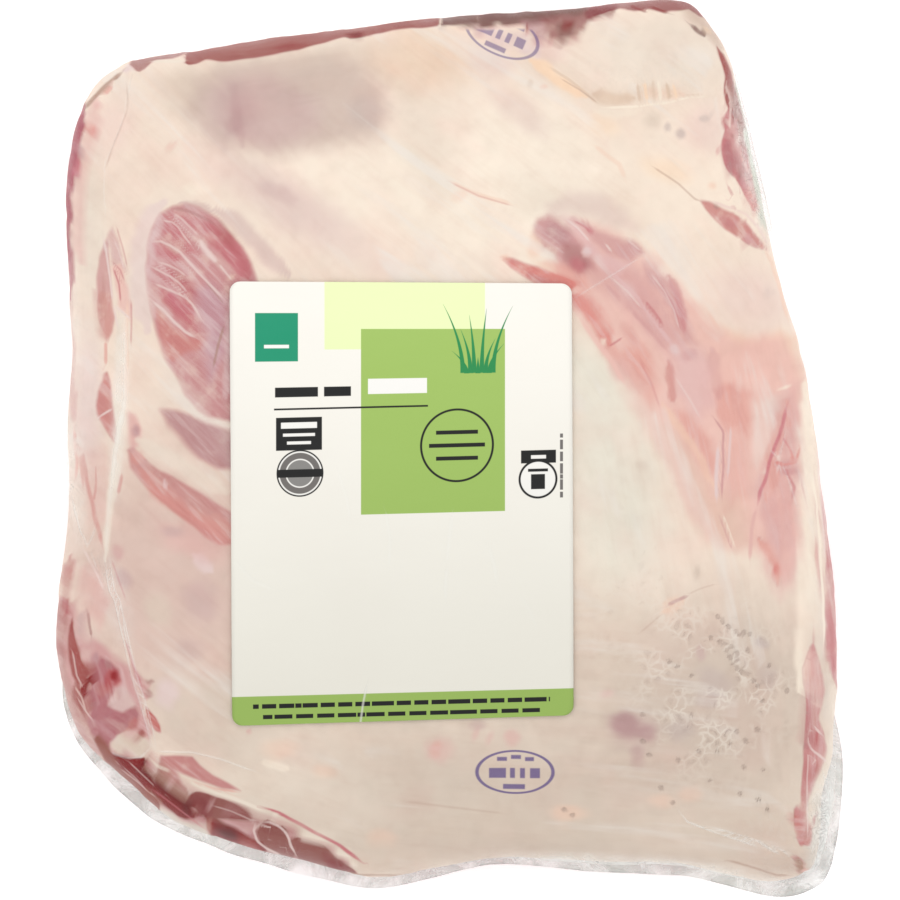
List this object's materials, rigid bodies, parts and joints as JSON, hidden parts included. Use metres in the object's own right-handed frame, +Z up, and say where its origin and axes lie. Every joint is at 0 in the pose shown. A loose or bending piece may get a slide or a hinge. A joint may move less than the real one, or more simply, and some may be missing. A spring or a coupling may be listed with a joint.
{
  "type": "raw lamb shoulder in a sealed film pack",
  "caption": "Square-cut raw lamb shoulder lying fat side up, sealed in clear shrink film with thin film lips at the edge and a plain label stuck on top.",
  "frame": {"origin": "on the surface that the pack lies on, under the middle of its box", "axes": "+Z up, out of the fat side; +Y along the label's long side, towards the straight cut end with the folded corner; +X across the pack, towards the side with the pink band of muscle"},
  "size_m": [0.2294, 0.2618, 0.0578],
  "materials": {
    "packed_meat": "raw lamb, cream fat over pink and dark red muscle, under clear glossy shrink film",
    "label": "white label with a satin coat, a green field, a green foot band and plain dark bars for print"
  },
  "bodies": {
    "root": {"packed_shoulder": "packed_meat", "label": "label"}
  },
  "joints": []
}
